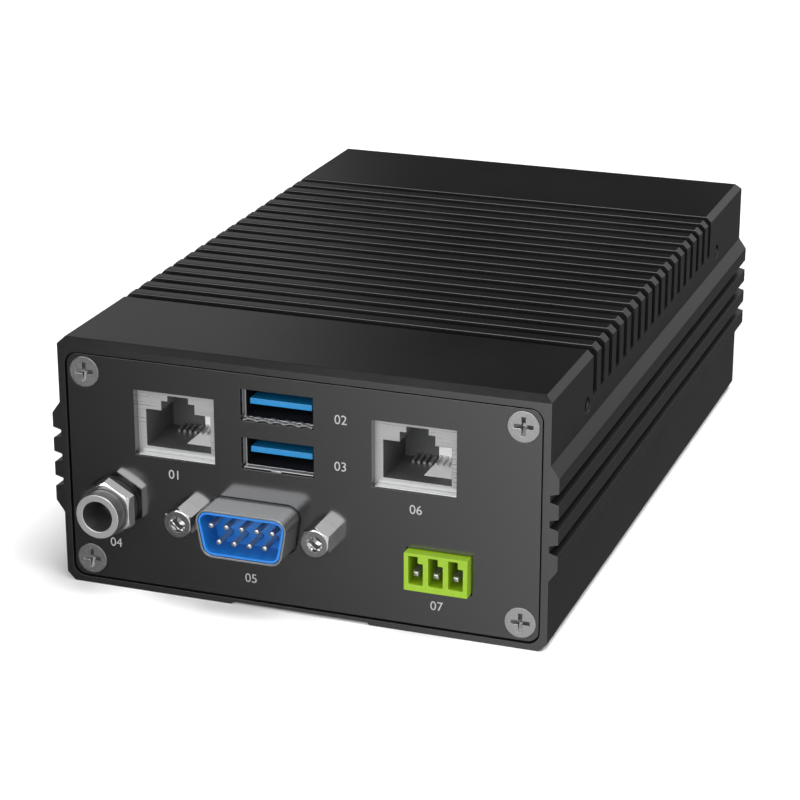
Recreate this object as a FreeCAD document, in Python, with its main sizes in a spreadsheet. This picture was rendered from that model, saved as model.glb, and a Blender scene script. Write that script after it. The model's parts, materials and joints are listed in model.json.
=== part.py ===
# Machine vision controller: a finned aluminium case with its panels, boards and connectors.
# Lengths are in millimetres.  +Z is up, the connector panel faces -Y, and the origin lies under the
# middle of the whole object, on the surface that it stands on.
import FreeCAD
import Part
import Sketcher
import math
import os
import re

# Driving sizes, each written once
SIZES = {
    # Case, one aluminium extrusion with machined slots
    "case_width": 88.0,
    "case_depth": 137.0,
    "side_wall": 2.7,
    "floor_wall": 2.6,
    "roof_wall": 3.6,
    "roof_headroom": 1.75,
    "top_chamfer": 1.1,
    "bottom_chamfer": 1.5,
    "channel_width": 25.4,
    "channel_depth": 0.5,
    # Ribs along both sides
    "rib_reach": 1.5,
    "rib_band": 20.4,
    "rib_centre": 23.0,
    "rib_ramp": 2.1,
    "groove_pitch": 4.47,
    "groove_mouth": 2.0,
    "groove_bed": 1.2,
    # Cooling slots across the top
    "slot_count": 18,
    "slot_pitch": 4.88,
    "slot_width": 2.4,
    "slot_depth": 8.0,
    "slot_floor_wall": 3.0,
    "bay_wall": 1.9,
    # End panels, let into the rims of the case
    "rim_side": 1.3,
    "rim_top": 2.35,
    "rim_bottom": 1.1,
    "panel_thickness": 1.6,
    "panel_corner": 2.0,
    "panel_recess": 0.3,
    "panel_gap": 0.3,
    # Countersunk screws of the end panels and the corner bosses that take them
    "screw_thread": 3.0,
    "screw_head": 5.4,
    "screw_head_edge": 0.25,
    "screw_length": 8.0,
    "screw_clearance": 0.1,
    "screw_margin_side": 0.5,
    "screw_margin_end": 0.45,
    "cross_span": 3.3,
    "cross_width": 0.7,
    "cross_depth": 1.0,
    "boss_wall": 2.45,
    "boss_length": 12.0,
    "boss_hole_spare": 2.0,
    # Threaded holes in the sides, for brackets
    "side_thread": 3.0,
    "side_hole_depth": 6.0,
    "side_hole_edge": 3.3,
    "side_hole_drop": 8.8,
    # Two boards on four posts
    "board_thickness": 1.6,
    "board_length": 96.0,
    "board_side_gap": 0.8,
    "board_front_gap": 1.0,
    "board_corner_gap": 0.4,
    "post_height": 4.1,
    "post_diameter": 7.0,
    "post_side": 4.0,
    "post_front": 25.0,
    "post_rear": 5.0,
    "stud_diameter": 3.0,
    "stud_reach": 2.8,
    "stud_clearance": 0.2,
    "standoff_width": 5.5,
    "pan_head": 5.6,
    "pan_head_height": 2.0,
    "pan_screw_length": 5.0,
    # Network jacks
    "left_jack_offset": 22.6,
    "right_jack_offset": 20.55,
    "jack_width": 15.9,
    "jack_height": 13.5,
    "jack_depth": 20.3,
    "jack_sheet": 0.3,
    "jack_fit": 0.05,
    "jack_clearance": 0.4,
    "jack_overlap_side": 0.55,
    "jack_overlap_top": 0.4,
    "jack_overlap_bottom": 1.2,
    "mouth_width": 12.0,
    "mouth_height": 6.75,
    "mouth_sill": 2.5,
    "step_width": 6.2,
    "step_rise": 1.75,
    "notch_width": 3.9,
    "notch_rise": 2.8,
    "pocket_depth": 10.7,
    "carrier_width": 5.8,
    "carrier_side_gap": 0.2,
    "carrier_start": 3.2,
    "wire_count": 8,
    "wire_pitch": 1.02,
    "wire_width": 0.45,
    "wire_run": 3.0,
    "wire_rise": 0.8,
    # Data ports, one above the other
    "port_offset": 3.75,
    "port_lift": 4.15,
    "port_pitch": 8.65,
    "port_width": 13.1,
    "port_height": 5.7,
    "port_depth": 13.5,
    "port_sheet": 0.35,
    "port_block_depth": 5.0,
    "tongue_side_gap": 0.6,
    "tongue_thickness": 1.05,
    "tongue_setback": 0.3,
    "tongue_drop": 1.75,
    "strip_count": 4,
    "strip_pitch": 2.4,
    "strip_width": 1.1,
    "strip_thickness": 0.2,
    "strip_length": 8.0,
    # Serial port with nine pins
    "serial_offset": 8.1,
    "serial_lift": 7.0,
    "serial_headroom": 0.85,
    "serial_width": 17.2,
    "serial_height": 8.6,
    "serial_slant": 1.47,
    "serial_corner": 2.2,
    "serial_sheet": 0.35,
    "serial_reach": 6.2,
    "serial_clearance": 0.3,
    "flange_width": 30.8,
    "flange_height": 12.5,
    "flange_sheet": 1.0,
    "jackscrew_span": 24.99,
    "jackscrew_width": 5.0,
    "jackscrew_reach": 4.3,
    "jackscrew_thread": 2.84,
    "jackscrew_bore_depth": 3.4,
    "jackscrew_tail": 1.5,
    "jackscrew_clearance": 0.25,
    "hex_face_inset": 0.15,
    "hex_corner_cut": 0.6,
    "lining_wall": 0.4,
    "lining_fit": 0.1,
    "lining_setback": 0.15,
    "serial_cup_depth": 5.4,
    "serial_rear_depth": 8.0,
    "serial_rear_width": 19.0,
    "contact_pin": 1.0,
    "contact_pin_setback": 0.2,
    "contact_pin_root": 6.0,
    "contact_pin_pitch": 2.77,
    "contact_row_gap": 2.84,
    "contact_pin_fit": 0.04,
    # Terminal block with three cells
    "terminal_offset": 25.0,
    "terminal_cheek": 0.35,
    "terminal_height": 6.8,
    "terminal_depth": 10.5,
    "terminal_reach": 1.9,
    "terminal_clearance": 0.2,
    "terminal_pitch": 3.5,
    "cell_count": 3,
    "cell_width": 2.5,
    "cell_sill": 1.2,
    "cell_roof": 0.55,
    "cell_back": 2.5,
    "key_width": 1.6,
    "key_height": 1.2,
    "blade_width": 1.0,
    "blade_rise": 1.9,
    "blade_setback": 0.2,
    "blade_fit": 0.04,
    # Power socket with a threaded barrel, a washer and a hexagon nut
    "socket_inset": 9.5,
    "socket_lift": 7.35,
    "socket_reach": 6.7,
    "barrel_diameter": 8.0,
    "barrel_wall": 1.25,
    "barrel_clearance": 0.15,
    "barrel_floor": 1.5,
    "shoulder_lip": 1.3,
    "shoulder_thickness": 1.5,
    "washer_thickness": 1.5,
    "nut_wall": 0.6,
    "nut_thickness": 2.4,
    "socket_body_lip": 0.8,
    "socket_foot_width": 9.0,
    "socket_foot_depth": 6.0,
    "socket_fit": 0.05,
    "centre_pin": 2.1,
    "centre_pin_setback": 4.6,
    "centre_pin_root": 5.0,
    # What the upper board carries under the cooling slots
    "processor_place": 46.0,
    "processor_size": 24.0,
    "processor_height": 1.4,
    "thermal_pad_height": 0.5,
    "heat_block_width": 40.0,
    "heat_block_length": 30.0,
    "memory_place": 63.0,
    "memory_width": 67.6,
    "memory_length": 30.0,
    "memory_sheet": 1.2,
    "memory_lift": 3.0,
    "memory_fit": 0.05,
    "memory_socket_cheek": 2.2,
    "memory_socket_depth": 5.0,
    "memory_socket_height": 5.2,
    "memory_grip": 3.5,
    "chip_count": 4,
    "chip_pitch": 15.0,
    "chip_width": 11.0,
    "chip_length": 13.0,
    "chip_height": 1.1,
    # What the lower board carries
    "storage_offset": 12.0,
    "storage_place": 34.0,
    "storage_width": 22.0,
    "storage_length": 42.0,
    "storage_sheet": 0.9,
    "storage_lift": 2.4,
    "storage_fit": 0.05,
    "storage_socket_cheek": 0.8,
    "storage_socket_depth": 8.0,
    "storage_socket_height": 4.2,
    "storage_grip": 3.0,
    "storage_post_diameter": 5.5,
    "storage_screw_head": 4.2,
    "storage_screw_thread": 2.0,
    "storage_screw_clearance": 0.2,
    "storage_screw_head_height": 1.2,
    "coin_offset": 18.0,
    "coin_place": 44.0,
    "coin_diameter": 20.0,
    "coin_height": 3.2,
    "coin_holder_wall": 1.3,
    "coin_holder_floor": 0.8,
    "coin_fit": 0.2,
    "coin_show": 0.6,
    "link_offset": 20.0,
    "link_place": 87.0,
    "link_width": 24.0,
    "link_depth": 5.0,
    "link_socket_height": 6.5,
    "capacitor_offset": 30.0,
    "capacitor_place": 37.0,
    "capacitor_pitch": 11.0,
    "capacitor_diameter": 8.0,
    "capacitor_height": 10.5,
}

# Places and fits worked out from the driving sizes
WORKED_OUT = {
    "front_y": "-(case_depth - socket_reach + panel_recess) / 2",
    "panel_back": "panel_recess + panel_thickness",
    "io_board_bottom": "floor_wall + post_height",
    "io_board_top": "io_board_bottom + board_thickness",
    "board_spacing": "serial_lift + flange_height / 2 + serial_headroom",
    "main_board_bottom": "io_board_top + board_spacing",
    "main_board_top": "main_board_bottom + board_thickness",
    "port_stack_height": "port_lift + port_pitch + port_height / 2",
    "bay_top": "main_board_top + port_stack_height + roof_headroom",
    "case_height": "bay_top + roof_wall",
    "side_x": "case_width / 2",
    "rib_x": "side_x + rib_reach",
    "rib_base": "rib_centre - rib_band / 2",
    "rib_top": "rib_centre + rib_band / 2",
    "cavity_width": "case_width - 2 * side_wall",
    "cavity_length": "case_depth - 2 * panel_back",
    "cavity_top": "case_height - slot_depth - slot_floor_wall",
    "opening_width": "case_width - 2 * rim_side",
    "opening_height": "case_height - rim_top - rim_bottom",
    "opening_corner": "panel_corner + panel_gap",
    "panel_width": "opening_width - 2 * panel_gap",
    "panel_height": "opening_height - 2 * panel_gap",
    "panel_centre": "rim_bottom + opening_height / 2",
    "screw_span_wide": "panel_width - screw_head - 2 * screw_margin_side",
    "screw_span_high": "panel_height - screw_head - 2 * screw_margin_end",
    "screw_low": "panel_centre - screw_span_high / 2",
    "screw_hole": "screw_thread + screw_clearance",
    "screw_head_cone": "(screw_head - screw_thread) / 2",
    "screw_hole_depth": "screw_length + boss_hole_spare - panel_thickness",
    "boss_span": "screw_span_wide - screw_hole - 2 * boss_wall",
    "boss_top": "screw_low + screw_hole / 2 + boss_wall",
    "boss_rise": "boss_top - floor_wall",
    "bay_length": "jack_depth + jack_clearance",
    "slots_start": "panel_back + bay_length + bay_wall",
    "slots_length": "slot_pitch * (slot_count - 1)",
    "side_hole_inset": "slots_start - side_hole_edge",
    "side_hole_height": "case_height - side_hole_drop",
    "board_width": "cavity_width - 2 * board_side_gap",
    "board_front": "panel_back + board_front_gap",
    "board_shoulder": "panel_back + boss_length + board_corner_gap",
    "post_span": "board_width - 2 * post_side",
    "post_front_y": "board_front + post_front",
    "post_run": "board_length - post_front - post_rear",
    "stud_hole": "stud_diameter + stud_clearance",
    "jack_centre": "main_board_top + jack_height / 2",
    "jack_window_centre": "jack_centre + (jack_overlap_bottom - jack_overlap_top) / 2",
    "jack_inner_width": "jack_width - 2 * jack_sheet",
    "jack_inner_height": "jack_height - jack_sheet",
    "jack_inner_depth": "jack_depth - 2 * jack_sheet",
    "insert_width": "jack_inner_width - 2 * jack_fit",
    "insert_height": "jack_inner_height - jack_fit",
    "insert_depth": "jack_inner_depth - jack_fit",
    "insert_end": "jack_sheet + insert_depth",
    "pocket_end": "jack_sheet + pocket_depth",
    "carrier_centre": "(mouth_width - carrier_width) / 2 - carrier_side_gap",
    "mouth_top": "mouth_sill + mouth_height",
    "port_low": "main_board_top + port_lift",
    "port_inner_width": "port_width - 2 * port_sheet",
    "port_inner_height": "port_height - 2 * port_sheet",
    "tongue_width": "port_inner_width - 2 * tongue_side_gap",
    "tongue_centre": "port_inner_height / 2 - tongue_drop - tongue_thickness / 2",
    "serial_centre": "io_board_top + serial_lift",
    "serial_front": "panel_recess - serial_reach",
    "serial_length": "serial_reach + panel_thickness",
    "serial_rear_height": "serial_lift + serial_height / 2",
    "lining_inset": "serial_sheet + lining_fit",
    "jackscrew_hole": "jackscrew_thread + 2 * jackscrew_clearance",
    "terminal_centre": "io_board_top + terminal_height / 2",
    "terminal_front": "panel_recess - terminal_reach",
    "terminal_width": "terminal_pitch * cell_count + 2 * terminal_cheek",
    "terminal_row": "terminal_pitch * (cell_count - 1)",
    "cell_height": "terminal_height - cell_sill - cell_roof - key_height",
    "cell_depth": "terminal_depth - cell_back",
    "socket_x": "socket_inset - side_x",
    "socket_centre": "io_board_top + socket_lift",
    "socket_front": "panel_recess - socket_reach",
    "barrel_bore": "barrel_diameter - 2 * barrel_wall",
    "barrel_length": "socket_reach + panel_thickness",
    "nut_width": "barrel_diameter + 2 * nut_wall",
    "shoulder_end": "barrel_length + shoulder_thickness",
    "socket_body_diameter": "barrel_diameter + 2 * socket_body_lip",
    "socket_body_depth": "board_shoulder - panel_back - shoulder_thickness + socket_fit",
    "processor_y": "board_front + processor_place",
    "heat_block_height": "cavity_top - main_board_top - processor_height - thermal_pad_height",
    "memory_y": "board_front + memory_place",
    "memory_slot": "main_board_top + memory_lift",
    "memory_start": "memory_y + memory_socket_depth - memory_grip",
    "storage_y": "board_front + storage_place",
    "storage_slot": "io_board_top + storage_lift",
    "storage_start": "storage_y + storage_socket_depth - storage_grip",
    "storage_end": "storage_start + storage_length",
    "storage_screw_hole": "storage_screw_thread + storage_screw_clearance",
    "coin_y": "board_front + coin_place",
    "coin_cup": "coin_diameter + 2 * coin_fit",
    "link_y": "board_front + link_place",
    "link_plug_height": "board_spacing - link_socket_height",
}

doc = FreeCAD.newDocument("vision_controller")
sheet = doc.addObject("Spreadsheet::Sheet", "sizes")
for row, (alias, value) in enumerate(SIZES.items(), start=1):
    sheet.set(f"A{row}", alias)
    sheet.set(f"B{row}", str(value))
    sheet.setAlias(f"B{row}", alias)
doc.recompute()

sub_parts = []


def expression(text):
    """The text as a sheet expression, with every worked-out value spelled in driving sizes."""
    def spell(match):
        word = match.group()
        if word in WORKED_OUT:
            return "(" + expression(WORKED_OUT[word]) + ")"
        return "sizes." + word if word in SIZES else word
    return re.sub(r"[a-z][a-z_0-9]*", spell, text)


def number(text):
    """The present value of an expression."""
    return float(sheet.evalExpression(expression(text)))


def new_part(label, x="0", y="0", z="0"):
    """A body whose local origin lies at x, y behind the front rim of the case, and z."""
    body = doc.addObject("PartDesign::Body", label)
    body.Label = label
    body.setExpression("Placement.Base.x", expression(x))
    body.setExpression("Placement.Base.y", expression(f"front_y + {y}"))
    body.setExpression("Placement.Base.z", expression(z))
    sub_parts.append(body)
    return body


def origin_feature(body, role):
    """The body's own origin plane or axis with that role."""
    return next(feature for feature in body.Origin.OriginFeatures if feature.Role == role)


def new_sketch(body, name, role, offset):
    """A sketch on an origin plane of the body, shifted by three expressions."""
    sketch = body.newObject("Sketcher::SketchObject", name)
    sketch.AttachmentSupport = [(origin_feature(body, role), "")]
    sketch.MapMode = "FlatFace"
    for axis, shift in zip("xyz", offset):
        sketch.setExpression(f"AttachmentOffset.Base.{axis}", expression(shift))
    return sketch


def draw_polygon(sketch, points):
    """A closed outline, each corner bound to its own pair of expressions."""
    corners = [FreeCAD.Vector(number(across), number(along), 0) for across, along in points]
    count = len(corners)
    for index, corner in enumerate(corners):
        sketch.addGeometry(Part.LineSegment(corner, corners[(index + 1) % count]), False)
    for index in range(count):
        sketch.addConstraint(Sketcher.Constraint("Coincident", index, 2, (index + 1) % count, 1))
    for index, (point, corner) in enumerate(zip(points, corners)):
        for kind, place, text in (("DistanceX", corner.x, point[0]), ("DistanceY", corner.y, point[1])):
            constraint = sketch.addConstraint(Sketcher.Constraint(kind, -1, 1, index, 1, place))
            sketch.renameConstraint(constraint, f"{kind}_{index}")
            sketch.setExpression(f"Constraints.{kind}_{index}", expression(text))


def draw_circle(sketch, diameter):
    """A circle about the sketch's own origin."""
    circle = Part.Circle(FreeCAD.Vector(0, 0, 0), FreeCAD.Vector(0, 0, 1), number(diameter) / 2)
    sketch.addGeometry(circle, False)
    sketch.addConstraint(Sketcher.Constraint("Coincident", 0, 3, -1, 1))
    constraint = sketch.addConstraint(Sketcher.Constraint("Diameter", 0, number(diameter)))
    sketch.renameConstraint(constraint, "diameter")
    sketch.setExpression("Constraints.diameter", expression(diameter))


def rectangle(width, height):
    """Corners of a rectangle about the origin."""
    half_width = f"({width}) / 2"
    half_height = f"({height}) / 2"
    return [(f"-{half_width}", f"-{half_height}"), (half_width, f"-{half_height}"),
            (half_width, half_height), (f"-{half_width}", half_height)]


def hexagon(across_flats):
    """Corners of a hexagon with a corner at the top."""
    side = f"({across_flats}) / sqrt(3)"
    half = f"({across_flats}) / 2"
    return [("0", f"-{side}"), (half, f"-{side} / 2"), (half, f"{side} / 2"),
            ("0", side), (f"-{half}", f"{side} / 2"), (f"-{half}", f"-{side} / 2")]


def hexagon_corner_cut(across_flats, face):
    """Half section of the turned cut that takes the corners off the outer end of a hexagon."""
    inner = f"({across_flats}) / 2 - hex_face_inset"
    outer = f"({across_flats}) / sqrt(3) + hex_face_inset"
    return [(inner, face), (outer, face), (outer, f"{face} + hex_corner_cut")]


# For each direction of a prism: its sketch plane, the sign of that plane's normal, its two other axes
PRISM_PLANES = {"x": ("YZ_Plane", 1, "yz"), "y": ("XZ_Plane", -1, "xz"), "z": ("XY_Plane", 1, "xy")}


def prism(body, name, axis, profile, start, length, at=("0", "0"), cut=False):
    """A pad, or a pocket where cut is set, from start towards the axis's positive side.

    The profile is a list of corners, or a text that gives a circle's diameter.
    """
    role, facing, _ = PRISM_PLANES[axis]
    depth = start if facing > 0 else f"-({start})"
    before = body.Shape.Volume if cut else 0.0
    sketch = new_sketch(body, f"{name}_outline", role, (at[0], at[1], depth))
    if isinstance(profile, str):
        draw_circle(sketch, profile)
    else:
        draw_polygon(sketch, profile)
    feature = body.newObject("PartDesign::Pocket" if cut else "PartDesign::Pad", name)
    feature.Profile = sketch
    feature.setExpression("Length", expression(length))
    feature.Reversed = (facing < 0) != cut
    doc.recompute()
    if cut and body.Shape.Volume >= before:
        raise RuntimeError(f"{body.Label}: {name} cut nothing")
    return feature


def round_corners(body, name, axis, profile, radius, at=("0", "0")):
    """A fillet on every straight edge that runs along the axis through the profile's corners."""
    across, along = PRISM_PLANES[axis][2]
    places = [(number(f"{first} + {at[0]}"), number(f"{second} + {at[1]}")) for first, second in profile]
    touching = 1e-4
    chosen = []
    for index, edge in enumerate(body.Tip.Shape.Edges, start=1):
        ends = [(getattr(vertex.Point, across), getattr(vertex.Point, along)) for vertex in edge.Vertexes]
        if any(all(math.dist(place, end) < touching for end in ends) for place in places):
            chosen.append(f"Edge{index}")
    base = body.Tip
    fillet = body.newObject("PartDesign::Fillet", name)
    fillet.Base = (base, chosen)
    fillet.setExpression("Radius", expression(radius))
    doc.recompute()
    return fillet


def turned(body, name, profile, at=("0", "0", "0"), cut=False):
    """A solid, or a cut, turned about a line along Y: each corner is a radius and a place along Y."""
    sketch = new_sketch(body, f"{name}_outline", "XY_Plane", at)
    draw_polygon(sketch, profile)
    feature = body.newObject("PartDesign::Groove" if cut else "PartDesign::Revolution", name)
    feature.Profile = sketch
    feature.ReferenceAxis = (sketch, ["V_Axis"])
    feature.Angle = 360.0
    doc.recompute()
    return feature


def repeat(body, name, features, first, second=None):
    """A row of features, or a grid with a second row: each row is an axis role, a length and a count."""
    pattern = body.newObject("PartDesign::LinearPattern", name)
    pattern.Originals = features
    pattern.Direction = (origin_feature(body, first[0]), [""])
    pattern.setExpression("Length", expression(first[1]))
    pattern.setExpression("Occurrences", expression(first[2]))
    if second:
        pattern.Direction2 = (origin_feature(body, second[0]), [""])
        pattern.setExpression("Length2", expression(second[1]))
        pattern.setExpression("Occurrences2", expression(second[2]))
    body.Tip = pattern
    doc.recompute()
    return pattern


def block(label, width, length, height, x, y, z):
    """A plain block that stands on z, centred over x and y."""
    body = new_part(label, x=x, y=y, z=z)
    prism(body, "block", "z", rectangle(width, length), "0", height)
    return body


# Case: the extruded profile with its ribs and the channel underneath
case = new_part("housing")
right_side = [
    ("channel_width / 2 - channel_depth", "channel_depth"),
    ("channel_width / 2", "0"),
    ("side_x - bottom_chamfer", "0"),
    ("side_x", "bottom_chamfer"),
    ("side_x", "rib_base"),
    ("rib_x", "rib_base + rib_ramp"),
]
for step in (-1, 0, 1):
    groove = f"rib_centre + {step} * groove_pitch"
    right_side += [
        ("rib_x", f"{groove} - groove_mouth / 2"),
        ("side_x", f"{groove} - groove_bed / 2"),
        ("side_x", f"{groove} + groove_bed / 2"),
        ("rib_x", f"{groove} + groove_mouth / 2"),
    ]
right_side += [
    ("rib_x", "rib_top - rib_ramp"),
    ("side_x", "rib_top"),
    ("side_x", "case_height - top_chamfer"),
    ("side_x - top_chamfer", "case_height"),
]
left_side = [(f"-({across})", height) for across, height in reversed(right_side)]
prism(case, "extrusion", "y", right_side + left_side, "0", "case_depth")

# Chamfers along the top edges of both ends
front_edge = [("0", "case_height - top_chamfer"), ("top_chamfer", "case_height"), ("0", "case_height")]
rear_edge = [(f"case_depth - ({along})", height) for along, height in reversed(front_edge)]
prism(case, "front_top_chamfer", "x", front_edge, "-side_x", "case_width", cut=True)
prism(case, "rear_top_chamfer", "x", rear_edge, "-side_x", "case_width", cut=True)

# Recesses for the end panels
opening = rectangle("opening_width", "opening_height")
for name, start in (("front_recess", "0"), ("rear_recess", "case_depth - panel_back")):
    prism(case, name, "y", opening, start, "panel_back", at=("0", "panel_centre"), cut=True)
round_corners(case, "recess_corners", "y", opening, "opening_corner", at=("0", "panel_centre"))

# Hollow above the lower bosses, between them, behind them and over the connectors
middle_height = "cavity_top - boss_top"
prism(case, "hollow_middle", "y", rectangle("cavity_width", middle_height), "panel_back", "cavity_length",
      at=("0", f"boss_top + ({middle_height}) / 2"), cut=True)
prism(case, "hollow_floor", "y", rectangle("boss_span", "boss_rise"), "panel_back", "cavity_length",
      at=("0", "floor_wall + boss_rise / 2"), cut=True)
prism(case, "hollow_behind_bosses", "y", rectangle("cavity_width", "boss_rise"), "panel_back + boss_length",
      "cavity_length - 2 * boss_length", at=("0", "floor_wall + boss_rise / 2"), cut=True)
bay_height = "bay_top - cavity_top"
for name, start in (("front_bay", "panel_back"), ("rear_bay", "case_depth - panel_back - bay_length")):
    prism(case, name, "y", rectangle("boss_span", bay_height), start, "bay_length",
          at=("0", f"cavity_top + ({bay_height}) / 2"), cut=True)

# Cooling slots, cut across the top and out of both sides
slot = prism(case, "slot", "x", rectangle("slot_width", "slot_depth"), "-side_x", "case_width",
             at=("slots_start + slot_width / 2", "case_height - slot_depth / 2"), cut=True)
repeat(case, "slots", [slot], ("Y_Axis", "slots_length", "slot_count"))

# Threaded holes for the panel screws, in both ends of the corner bosses
screw_grid = (("X_Axis", "screw_span_wide", "2"), ("Z_Axis", "screw_span_high", "2"))
for name, start in (("front_screw_hole", "panel_back"),
                    ("rear_screw_hole", "case_depth - panel_back - screw_hole_depth")):
    hole = prism(case, name, "y", "screw_hole", start, "screw_hole_depth",
                 at=("-screw_span_wide / 2", "screw_low"), cut=True)
    repeat(case, f"{name}s", [hole], *screw_grid)

# Threaded holes in the sides
for name, start in (("right_side_hole", "side_x - side_hole_depth"), ("left_side_hole", "-side_x")):
    hole = prism(case, name, "x", "side_thread", start, "side_hole_depth",
                 at=("side_hole_inset", "side_hole_height"), cut=True)
    repeat(case, f"{name}s", [hole], ("Y_Axis", "case_depth - 2 * side_hole_inset", "2"))

# Posts on the floor that carry the boards
post_grid = (("X_Axis", "post_span", "2"), ("Y_Axis", "post_run", "2"))
post_at = ("-post_span / 2", "post_front_y")
post = prism(case, "post", "z", "post_diameter", "floor_wall", "post_height", at=post_at)
repeat(case, "posts", [post], *post_grid)
post_hole_depth = "stud_reach + stud_clearance"
post_hole = prism(case, "post_hole", "z", "stud_hole", f"io_board_bottom - ({post_hole_depth})",
                  post_hole_depth, at=post_at, cut=True)
repeat(case, "post_holes", [post_hole], *post_grid)


def screw_profile(clearance, length, facing):
    """Half section of a countersunk screw, or of its hole, from its outer face along Y."""
    head = f"(screw_head + {clearance}) / 2"
    shank = f"(screw_thread + {clearance}) / 2"
    corners = [("0", "0"), (head, "0"), (head, "screw_head_edge"),
               (shank, "screw_head_edge + screw_head_cone"), (shank, length), ("0", length)]
    return [(radius, f"{facing} * ({along})") for radius, along in corners]


def end_panel(label, outer_face, facing):
    """A rounded plate, its outer face at local y of nought, with four countersunk holes."""
    panel = new_part(label, y=outer_face)
    plate = rectangle("panel_width", "panel_height")
    start = "0" if facing > 0 else "-panel_thickness"
    prism(panel, "plate", "y", plate, start, "panel_thickness", at=("0", "panel_centre"))
    round_corners(panel, "corners", "y", plate, "panel_corner", at=("0", "panel_centre"))
    hole = turned(panel, "screw_hole", screw_profile("screw_clearance", "panel_thickness", facing),
                  at=("-screw_span_wide / 2", "0", "screw_low"), cut=True)
    repeat(panel, "screw_holes", [hole], *screw_grid)
    return panel


def panel_screws(label, outer_face, facing):
    """Four countersunk screws with cross recesses, flush with the panel's outer face."""
    screws = new_part(label, x="-screw_span_wide / 2", y=outer_face, z="screw_low")
    shape = turned(screws, "screw", screw_profile("0", "screw_length", facing))
    start = "0" if facing > 0 else "-cross_depth"
    upright = prism(screws, "upright_slot", "y", rectangle("cross_width", "cross_span"), start,
                    "cross_depth", cut=True)
    level = prism(screws, "level_slot", "y", rectangle("cross_span", "cross_width"), start,
                  "cross_depth", cut=True)
    repeat(screws, "set", [shape, upright, level], *screw_grid)


def serial_outline(grow):
    """Corners of the serial port's trapezoid, wide side up, grown by an expression."""
    top = f"(serial_width / 2 + {grow})"
    bottom = f"(serial_width / 2 - serial_slant + {grow})"
    half = f"(serial_height / 2 + {grow})"
    return [(f"-{bottom}", f"-{half}"), (bottom, f"-{half}"), (top, half), (f"-{top}", half)]


jack_places = {"left": "-left_jack_offset", "right": "right_jack_offset"}
port_places = {"lower": "port_low", "upper": "port_low + port_pitch"}
serial_x = "-serial_offset"

# Connector panel, with an opening for each connector
front_face = "panel_recess"
rear_face = "case_depth - panel_recess"
front = end_panel("front_panel", front_face, 1)
for side, place in jack_places.items():
    window = rectangle("jack_width - 2 * jack_overlap_side",
                       "jack_height - jack_overlap_top - jack_overlap_bottom")
    prism(front, f"{side}_jack_window", "y", window, "0", "panel_thickness",
          at=(place, "jack_window_centre"), cut=True)
for level, height in port_places.items():
    prism(front, f"{level}_port_window", "y", rectangle("port_width", "port_height"), "0", "panel_thickness",
          at=("-port_offset", height), cut=True)
window = serial_outline("serial_clearance")
prism(front, "serial_window", "y", window, "0", "panel_thickness", at=(serial_x, "serial_centre"), cut=True)
round_corners(front, "serial_window_corners", "y", window, "serial_corner + serial_clearance",
              at=(serial_x, "serial_centre"))
hole = prism(front, "jackscrew_hole", "y", "jackscrew_hole", "0", "panel_thickness",
             at=(f"{serial_x} - jackscrew_span / 2", "serial_centre"), cut=True)
repeat(front, "jackscrew_holes", [hole], ("X_Axis", "jackscrew_span", "2"))
window = rectangle("terminal_width + 2 * terminal_clearance", "terminal_height + 2 * terminal_clearance")
prism(front, "terminal_window", "y", window, "0", "panel_thickness",
      at=("terminal_offset", "terminal_centre"), cut=True)
prism(front, "socket_hole", "y", "barrel_diameter + 2 * barrel_clearance", "0", "panel_thickness",
      at=("socket_x", "socket_centre"), cut=True)
panel_screws("front_panel_screws", front_face, 1)

# Plain panel at the other end
end_panel("rear_panel", rear_face, -1)
panel_screws("rear_panel_screws", rear_face, -1)

# Upper board, and the lower one, narrower between the front bosses
board_middle = "board_front + board_length / 2"
main_board = new_part("main_board", z="main_board_bottom")
prism(main_board, "sheet", "z", rectangle("board_width", "board_length"), "0", "board_thickness",
      at=("0", board_middle))
io_board = new_part("io_board", z="io_board_bottom")
neck = "(boss_span / 2 - board_corner_gap)"
wide = "board_width / 2"
board_end = "board_front + board_length"
prism(io_board, "sheet", "z",
      [(f"-{neck}", "board_front"), (neck, "board_front"), (neck, "board_shoulder"),
       (wide, "board_shoulder"), (wide, board_end), (f"-{wide}", board_end),
       (f"-{wide}", "board_shoulder"), (f"-{neck}", "board_shoulder")],
      "0", "board_thickness")
for board in (main_board, io_board):
    hole = prism(board, "stud_hole", "z", "stud_hole", "0", "board_thickness", at=post_at, cut=True)
    repeat(board, "stud_holes", [hole], *post_grid)

# Hexagon standoffs between the boards and the screws on top of them
standoffs = new_part("board_standoffs", x=post_at[0], y=post_at[1], z="io_board_top")
pillar = prism(standoffs, "pillar", "z", hexagon("standoff_width"), "0", "board_spacing")
stud_length = "board_thickness + stud_reach"
stud = prism(standoffs, "stud", "z", "stud_diameter", f"-({stud_length})", stud_length)
bore = prism(standoffs, "bore", "z", "stud_hole", "board_spacing - pan_screw_length", "pan_screw_length",
             cut=True)
repeat(standoffs, "set", [pillar, stud, bore], *post_grid)
board_screws = new_part("board_screws", x=post_at[0], y=post_at[1], z="main_board_top")
head = prism(board_screws, "head", "z", "pan_head", "0", "pan_head_height")
shank = prism(board_screws, "shank", "z", "stud_diameter", "-pan_screw_length", "pan_screw_length")
recess_start = "pan_head_height - cross_depth"
upright = prism(board_screws, "first_slot", "z", rectangle("cross_width", "cross_span"), recess_start,
                "cross_depth", cut=True)
level = prism(board_screws, "second_slot", "z", rectangle("cross_span", "cross_width"), recess_start,
              "cross_depth", cut=True)
repeat(board_screws, "set", [head, shank, upright, level], *post_grid)


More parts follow.
